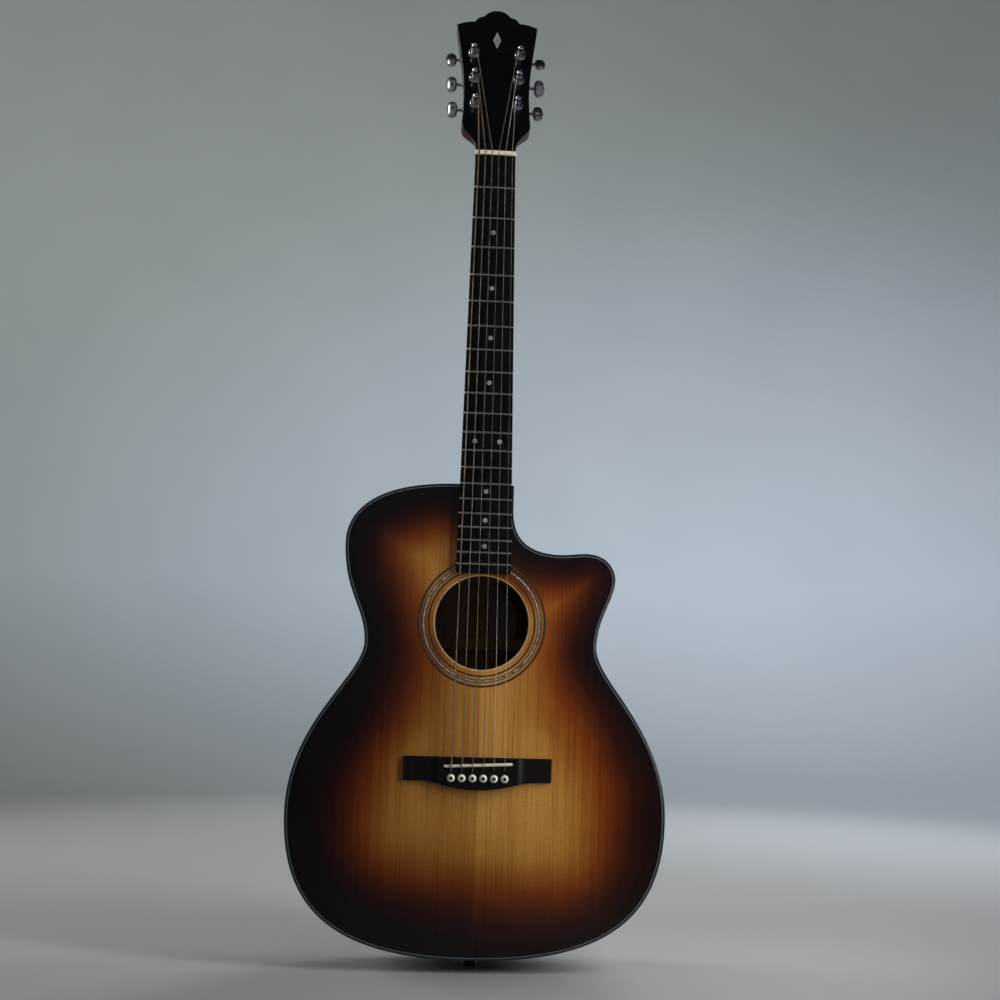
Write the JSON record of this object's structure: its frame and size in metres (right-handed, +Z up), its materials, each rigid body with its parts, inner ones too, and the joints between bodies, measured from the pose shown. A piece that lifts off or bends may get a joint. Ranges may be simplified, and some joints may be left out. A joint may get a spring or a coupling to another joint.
{
  "type": "acoustic guitar",
  "caption": "Steel-string acoustic guitar with a rounded cutaway, sunburst top, pinned bridge and geared tuners that turn their posts.",
  "frame": {"origin": "centre of the end pin's flat outer face, at the tail of the body", "axes": "+Z up the neck from the tail to the headstock, -Y out of the soundboard, +X towards the cutaway (treble) side"},
  "size_m": [0.3904, 0.1201, 1.0461],
  "materials": {
    "top_spruce": "gloss lacquer over a sunburst from amber to black",
    "body_mahogany": "gloss lacquer, dark red-brown",
    "neck_mahogany": "satin lacquer, dark red-brown",
    "inner_mahogany": "bare, sanded",
    "inner_spruce": "bare, sanded",
    "dark_rosewood": "oiled, very dark brown",
    "rosette_pearl": "shell pattern between black and white rings",
    "black_binding": "gloss",
    "black_lacquer": "high gloss",
    "black_plastic": "gloss",
    "bone": "polished bone",
    "pin_plastic": "polished, cream white",
    "chrome": "mirror polish",
    "rod_steel": "drawn",
    "hex_brass": "turned",
    "bronze_wound": "round-wound bronze",
    "plain_steel": "bright drawn wire"
  },
  "bodies": {
    "guitar": {"soundboard": "top_spruce", "rosette": "rosette_pearl", "back_plate": "body_mahogany", "top_binding": "black_binding", "back_binding": "black_binding", "bass_side": "body_mahogany", "treble_side": "body_mahogany", "bass_top_lining": "inner_spruce", "treble_top_lining": "inner_spruce", "bass_back_lining": "inner_spruce", "treble_back_lining": "inner_spruce", "neck_block": "inner_mahogany", "tail_block": "inner_mahogany", "x_brace_bass": "inner_spruce", "x_brace_treble": "inner_spruce", "transverse_brace": "inner_spruce", "tone_bar_upper": "inner_spruce", "tone_bar_lower": "inner_spruce", "bridge_plate": "inner_spruce", "back_bracing": "inner_spruce", "neck": "neck_mahogany", "headstock_veneer": "black_lacquer", "heel_cap": "black_binding", "fingerboard": "dark_rosewood", "nut": "bone", "truss_rod": "rod_steel", "bridge": "dark_rosewood", "saddle": "bone", "end_pin": "black_plastic", "string_6": "bronze_wound", "string_5": "bronze_wound", "string_4": "bronze_wound", "string_3": "bronze_wound", "string_2": "plain_steel", "string_1": "plain_steel", "tuner_housing_6": "chrome", "tuner_housing_5": "chrome", "tuner_housing_4": "chrome", "tuner_housing_3": "chrome", "tuner_housing_2": "chrome", "tuner_housing_1": "chrome"},
    "knob_6": {"tuner_knob_6": "chrome"},
    "post_6": {"tuner_post_6": "chrome"},
    "knob_5": {"tuner_knob_5": "chrome"},
    "post_5": {"tuner_post_5": "chrome"},
    "knob_4": {"tuner_knob_4": "chrome"},
    "post_4": {"tuner_post_4": "chrome"},
    "knob_3": {"tuner_knob_3": "chrome"},
    "post_3": {"tuner_post_3": "chrome"},
    "knob_2": {"tuner_knob_2": "chrome"},
    "post_2": {"tuner_post_2": "chrome"},
    "knob_1": {"tuner_knob_1": "chrome"},
    "post_1": {"tuner_post_1": "chrome"},
    "pin_6": {"bridge_pin_6": "pin_plastic"},
    "pin_5": {"bridge_pin_5": "pin_plastic"},
    "pin_4": {"bridge_pin_4": "pin_plastic"},
    "pin_3": {"bridge_pin_3": "pin_plastic"},
    "pin_2": {"bridge_pin_2": "pin_plastic"},
    "pin_1": {"bridge_pin_1": "pin_plastic"},
    "rod_adjuster": {"truss_rod_nut": "hex_brass"}
  },
  "joints": [
    {"name": "knob_6_turn", "type": "hinge", "parent": "guitar", "child": "knob_6", "pos_m": [-0.0233, -0.01874, 0.92406], "axis": [1, 0, 0], "continuous": true},
    {"name": "post_6_turn", "type": "hinge", "parent": "guitar", "child": "post_6", "pos_m": [-0.0233, -0.04256, 0.9231], "axis": [0, -0.9744, 0.225], "continuous": true},
    {"name": "knob_5_turn", "type": "hinge", "parent": "guitar", "child": "knob_5", "pos_m": [-0.0246, -0.01115, 0.9569], "axis": [1, 0, 0], "continuous": true},
    {"name": "post_5_turn", "type": "hinge", "parent": "guitar", "child": "post_5", "pos_m": [-0.0246, -0.03498, 0.95593], "axis": [0, -0.9744, 0.225], "continuous": true},
    {"name": "knob_4_turn", "type": "hinge", "parent": "guitar", "child": "knob_4", "pos_m": [-0.0258, -0.00373, 0.98905], "axis": [1, 0, 0], "continuous": true},
    {"name": "post_4_turn", "type": "hinge", "parent": "guitar", "child": "post_4", "pos_m": [-0.0258, -0.02756, 0.98809], "axis": [0, -0.9744, 0.225], "continuous": true},
    {"name": "knob_3_turn", "type": "hinge", "parent": "guitar", "child": "knob_3", "pos_m": [0.0258, -0.00373, 0.98905], "axis": [1, 0, 0], "continuous": true},
    {"name": "post_3_turn", "type": "hinge", "parent": "guitar", "child": "post_3", "pos_m": [0.0258, -0.02756, 0.98809], "axis": [0, -0.9744, 0.225], "continuous": true},
    {"name": "knob_2_turn", "type": "hinge", "parent": "guitar", "child": "knob_2", "pos_m": [0.0246, -0.01115, 0.9569], "axis": [1, 0, 0], "continuous": true},
    {"name": "post_2_turn", "type": "hinge", "parent": "guitar", "child": "post_2", "pos_m": [0.0246, -0.03498, 0.95593], "axis": [0, -0.9744, 0.225], "continuous": true},
    {"name": "knob_1_turn", "type": "hinge", "parent": "guitar", "child": "knob_1", "pos_m": [0.0233, -0.01874, 0.92406], "axis": [1, 0, 0], "continuous": true},
    {"name": "post_1_turn", "type": "hinge", "parent": "guitar", "child": "post_1", "pos_m": [0.0233, -0.04256, 0.9231], "axis": [0, -0.9744, 0.225], "continuous": true},
    {"name": "pin_6_pull", "type": "slide", "parent": "guitar", "child": "pin_6", "axis": [0, -1, 0], "range_m": [0, 0.03]},
    {"name": "pin_5_pull", "type": "slide", "parent": "guitar", "child": "pin_5", "axis": [0, -1, 0], "range_m": [0, 0.03]},
    {"name": "pin_4_pull", "type": "slide", "parent": "guitar", "child": "pin_4", "axis": [0, -1, 0], "range_m": [0, 0.03]},
    {"name": "pin_3_pull", "type": "slide", "parent": "guitar", "child": "pin_3", "axis": [0, -1, 0], "range_m": [0, 0.03]},
    {"name": "pin_2_pull", "type": "slide", "parent": "guitar", "child": "pin_2", "axis": [0, -1, 0], "range_m": [0, 0.03]},
    {"name": "pin_1_pull", "type": "slide", "parent": "guitar", "child": "pin_1", "axis": [0, -1, 0], "range_m": [0, 0.03]},
    {"name": "rod_adjuster_turn", "type": "hinge", "parent": "guitar", "child": "rod_adjuster", "pos_m": [0, -0.0445, 0.4344], "axis": [0, 0, 1], "range_deg": [-180, 180]}
  ],
  "couplings": [
    {"joint": "post_6_turn", "follows": "knob_6_turn", "ratio": 0.055556},
    {"joint": "post_5_turn", "follows": "knob_5_turn", "ratio": 0.055556},
    {"joint": "post_4_turn", "follows": "knob_4_turn", "ratio": 0.055556},
    {"joint": "post_3_turn", "follows": "knob_3_turn", "ratio": -0.055556},
    {"joint": "post_2_turn", "follows": "knob_2_turn", "ratio": -0.055556},
    {"joint": "post_1_turn", "follows": "knob_1_turn", "ratio": -0.055556}
  ]
}
